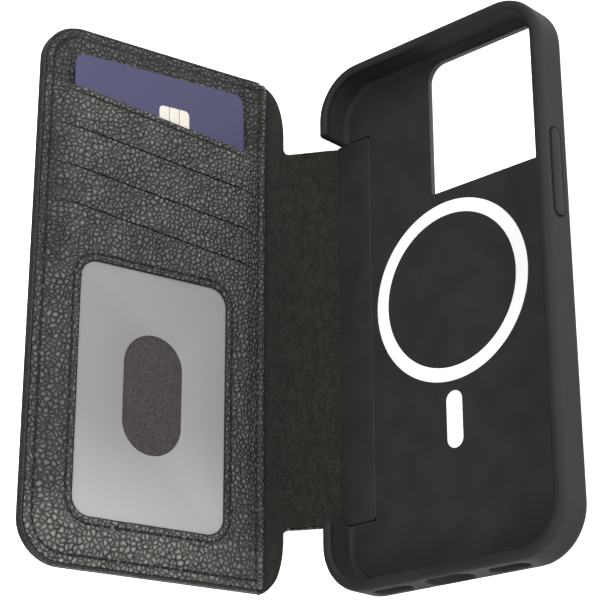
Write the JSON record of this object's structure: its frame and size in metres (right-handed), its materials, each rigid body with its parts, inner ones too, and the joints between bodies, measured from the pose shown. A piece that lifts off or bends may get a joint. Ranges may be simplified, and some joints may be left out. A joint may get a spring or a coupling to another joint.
{
  "type": "phone wallet case",
  "caption": "Folio phone case: rubber-edged tray with a magnet ring, folding spine, and a leather cover with card slots, an ID window and a card.",
  "frame": {"origin": "on the tray's flat back face, at the centre of the magnet ring", "axes": "+X across the phone towards the power-button side, away from the cover; +Y along the phone towards the camera end; +Z out of the screen side, away from the back face"},
  "size_m": [0.1114, 0.1531, 0.0864],
  "materials": {
    "tray_shell": "satin dark grey moulded polycarbonate",
    "bumper_rubber": "matte warm dark grey soft-touch elastomer",
    "ring_white": "smooth white film",
    "magnet_metal": "plain nickel-plated",
    "cover_leather": "black pebbled, semi-matte",
    "wallet_leather": "black pebbled, soft gloss on the grain",
    "microfibre_lining": "black brushed microfibre",
    "stiffener_board": "plain fibre board",
    "pocket_fabric": "dark grey-brown fine weave",
    "window_film": "frosted silver-grey translucent film",
    "card_plastic": "satin slate blue",
    "contact_metal": "pale plated contact pad"
  },
  "bodies": {
    "tray": {"back_plate": "tray_shell", "bumper_frame": "bumper_rubber", "ring_magnet_01": "magnet_metal", "ring_magnet_02": "magnet_metal", "ring_magnet_03": "magnet_metal", "ring_magnet_04": "magnet_metal", "ring_magnet_05": "magnet_metal", "ring_magnet_06": "magnet_metal", "ring_magnet_07": "magnet_metal", "ring_magnet_08": "magnet_metal", "ring_magnet_09": "magnet_metal", "ring_magnet_10": "magnet_metal", "ring_magnet_11": "magnet_metal", "ring_magnet_12": "magnet_metal", "ring_magnet_13": "magnet_metal", "ring_magnet_14": "magnet_metal", "ring_magnet_15": "magnet_metal", "ring_magnet_16": "magnet_metal", "ring_magnet_17": "magnet_metal", "ring_magnet_18": "magnet_metal", "alignment_magnet": "magnet_metal", "magnet_ring_cover": "ring_white", "magnet_strip_cover": "ring_white", "hinge_flange": "tray_shell", "closure_keeper_1": "magnet_metal", "closure_keeper_2": "magnet_metal"},
    "side_button": {"power_button": "bumper_rubber"},
    "spine": {"spine_leather": "cover_leather", "spine_board": "stiffener_board", "spine_lining": "microfibre_lining"},
    "cover": {"cover_leather": "cover_leather", "cover_board": "stiffener_board", "cover_lining": "microfibre_lining", "closure_magnet_1": "magnet_metal", "closure_magnet_2": "magnet_metal", "pocket_backing": "pocket_fabric", "pocket_liner_2": "pocket_fabric", "pocket_liner_3": "pocket_fabric", "pocket_liner_4": "pocket_fabric", "id_window_film": "window_film", "wallet_face": "wallet_leather"},
    "card": {"card_body": "card_plastic", "card_contact_pad": "contact_metal"}
  },
  "joints": [
    {"name": "spine_fold", "type": "hinge", "parent": "tray", "child": "spine", "pos_m": [-0.0401, 0, 0.0013], "axis": [0, 1, 0], "range_deg": [-30, 60]},
    {"name": "cover_fold", "type": "hinge", "parent": "spine", "child": "cover", "pos_m": [-0.05361, 0, 0.0091], "axis": [0, 1, 0], "range_deg": [-46.9, 44.2]},
    {"name": "card_slide", "type": "slide", "parent": "cover", "child": "card", "axis": [-0.0071, 0.9995, 0.0306], "range_m": [-0.005, 0.06]},
    {"name": "power_button_press", "type": "slide", "parent": "tray", "child": "side_button", "axis": [-1, 0, 0], "range_m": [0, 0.0005], "stiffness_N_per_m": 3000}
  ]
}
